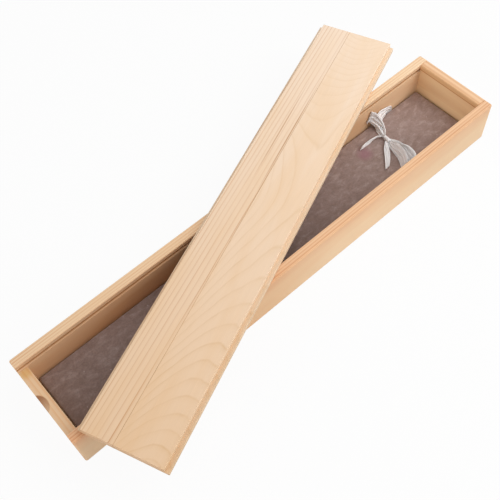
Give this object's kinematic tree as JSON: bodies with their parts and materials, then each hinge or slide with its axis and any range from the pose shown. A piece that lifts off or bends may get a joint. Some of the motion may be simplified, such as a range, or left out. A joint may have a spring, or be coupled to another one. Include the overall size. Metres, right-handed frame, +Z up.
{
  "type": "brush box",
  "caption": "Long narrow pine box with a lined bed, a ribbon bow and a sliding lid that lies loose across its rims.",
  "frame": {"origin": "centre of the box's underside", "axes": "+X along the box towards its full-height end, +Y across the box to its left side as seen from the low end, +Z up"},
  "size_m": [0.32, 0.167, 0.0363],
  "materials": {
    "side_pine": "sanded, bare",
    "end_pine": "sanded, bare",
    "lid_pine": "sanded, bare",
    "plywood": "sanded, bare",
    "grey_board": "raw board",
    "wadding": "soft fibre",
    "velvet": "short pile",
    "ribbon_cloth": "matt woven"
  },
  "bodies": {
    "box": {"left_side": "side_pine", "right_side": "side_pine", "far_end": "end_pine", "near_end": "end_pine", "bottom_panel": "plywood", "pad_board": "grey_board", "pad_wadding": "wadding", "velvet_cover": "velvet", "left_ribbon": "ribbon_cloth", "right_ribbon": "ribbon_cloth"},
    "lid": {"lid_narrow_board": "lid_pine", "lid_wide_board": "lid_pine"}
  },
  "joints": [
    {"name": "lid_lift", "type": "slide", "parent": "box", "child": "lid", "axis": [0, 0, 1], "range_m": [0, 0.12]}
  ]
}
